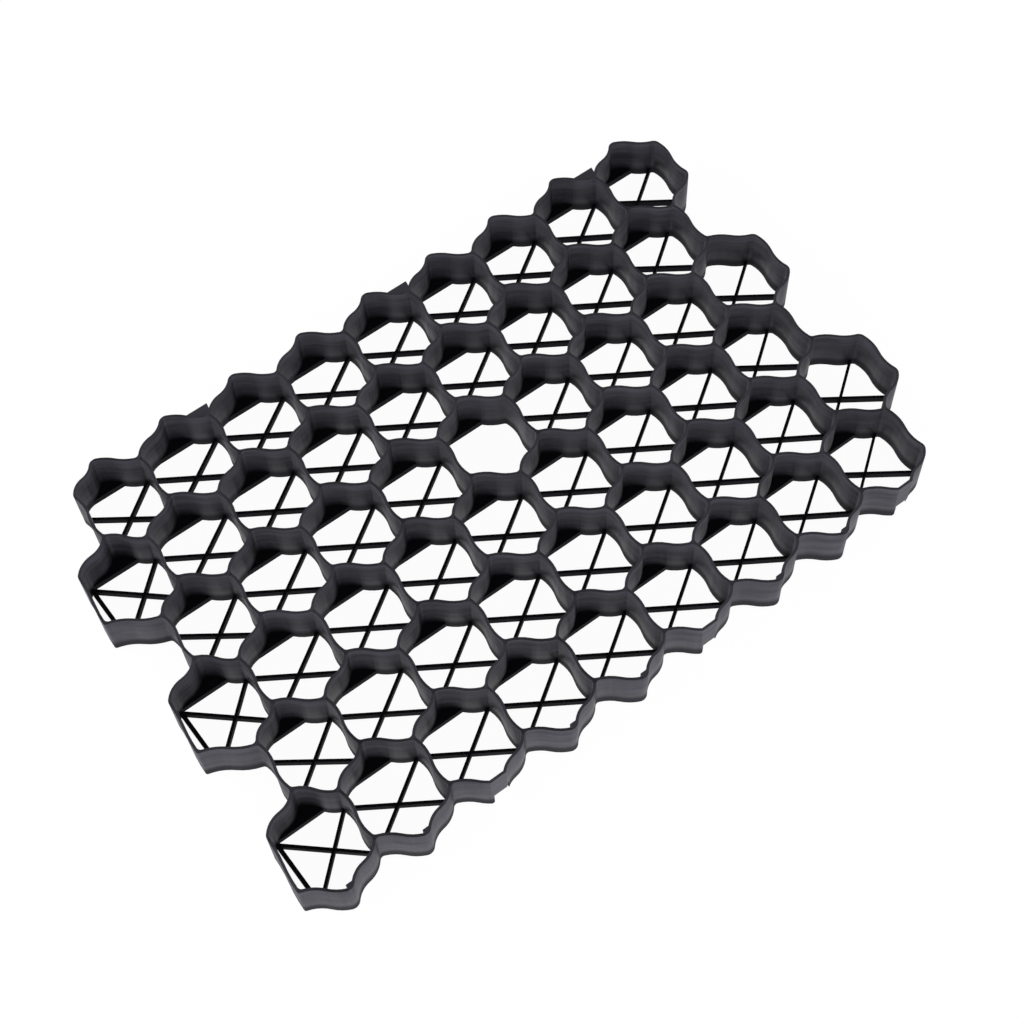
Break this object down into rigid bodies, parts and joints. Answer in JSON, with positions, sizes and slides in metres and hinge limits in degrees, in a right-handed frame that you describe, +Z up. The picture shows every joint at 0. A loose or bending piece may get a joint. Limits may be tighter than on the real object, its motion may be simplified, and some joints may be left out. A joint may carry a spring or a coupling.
{
  "type": "grass paver grid",
  "caption": "Flat panel of waved hexagon cells with a cross in the floor of each, laid to hold gravel or grass and carry a load.",
  "frame": {"origin": "centre of the footprint, on the underside", "axes": "+X along the long side, +Y along the short side, +Z up from the underside to the rim"},
  "size_m": [0.6012, 0.3986, 0.038],
  "materials": {
    "plastic": "moulded charcoal-black plastic with a satin sheen"
  },
  "bodies": {
    "root": {"grid_panel": "plastic"}
  },
  "joints": []
}
